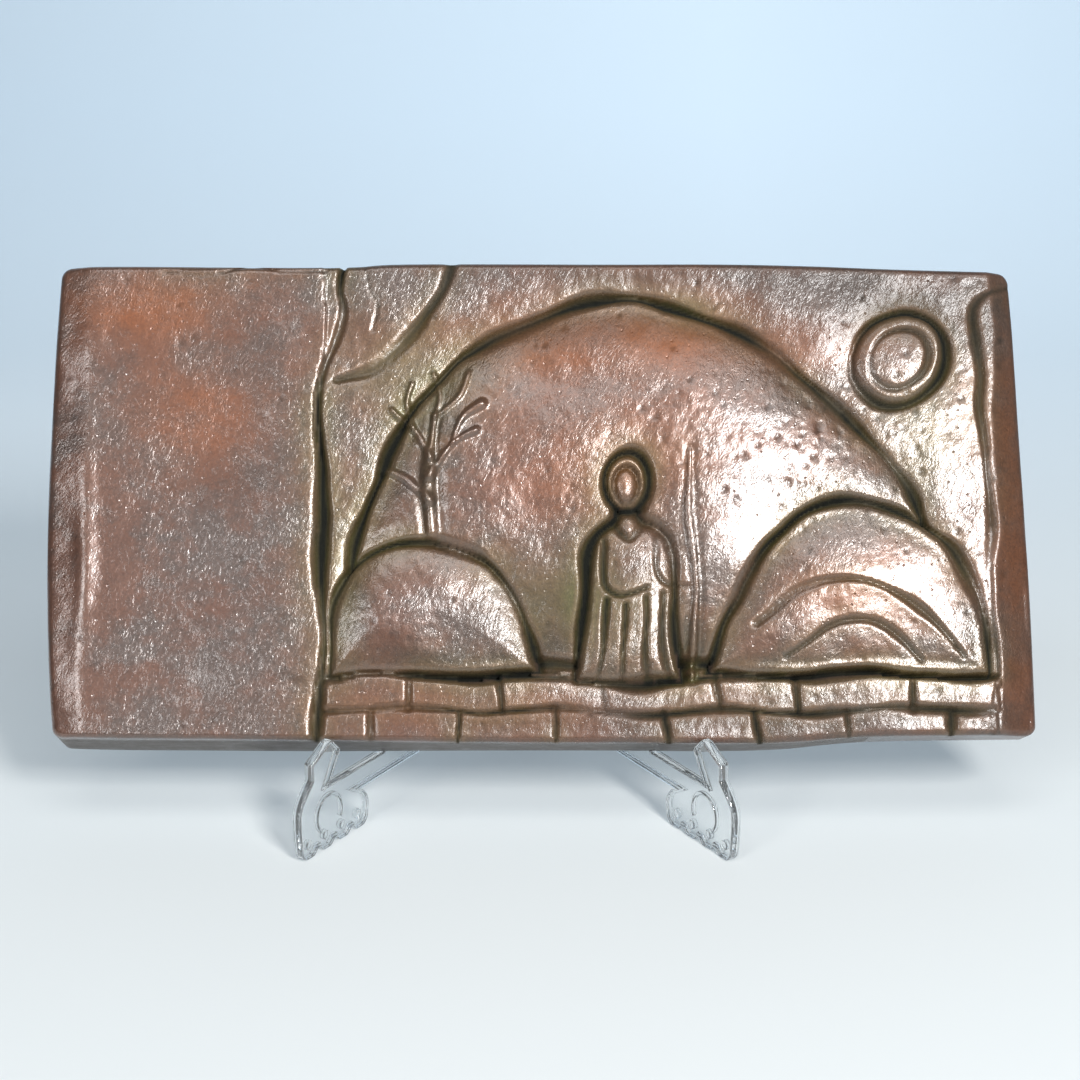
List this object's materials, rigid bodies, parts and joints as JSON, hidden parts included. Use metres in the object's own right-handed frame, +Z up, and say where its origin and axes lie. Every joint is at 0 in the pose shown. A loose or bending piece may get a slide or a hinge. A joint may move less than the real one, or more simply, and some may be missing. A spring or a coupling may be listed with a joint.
{
  "type": "bronze relief",
  "caption": "cast bronze relief slab with a hooded robed figure before rounded hills, leaning on a clear plastic plate easel",
  "frame": {"origin": "on the shelf, under the middle of the object's box", "axes": "+X right and -Y towards the viewer as the picture shows it, +Z up; the slab's length is along X and it leans back 28 degrees towards +Y"},
  "size_m": [0.3248, 0.1314, 0.1732],
  "materials": {
    "bronze": "red-brown patina over a slightly pitted sand-cast skin, satin sheen",
    "clear_plastic": "clear moulded polystyrene, glossy"
  },
  "bodies": {
    "root": {"relief_slab": "bronze", "easel_leaf_left": "clear_plastic", "easel_leaf_right": "clear_plastic"}
  },
  "joints": []
}
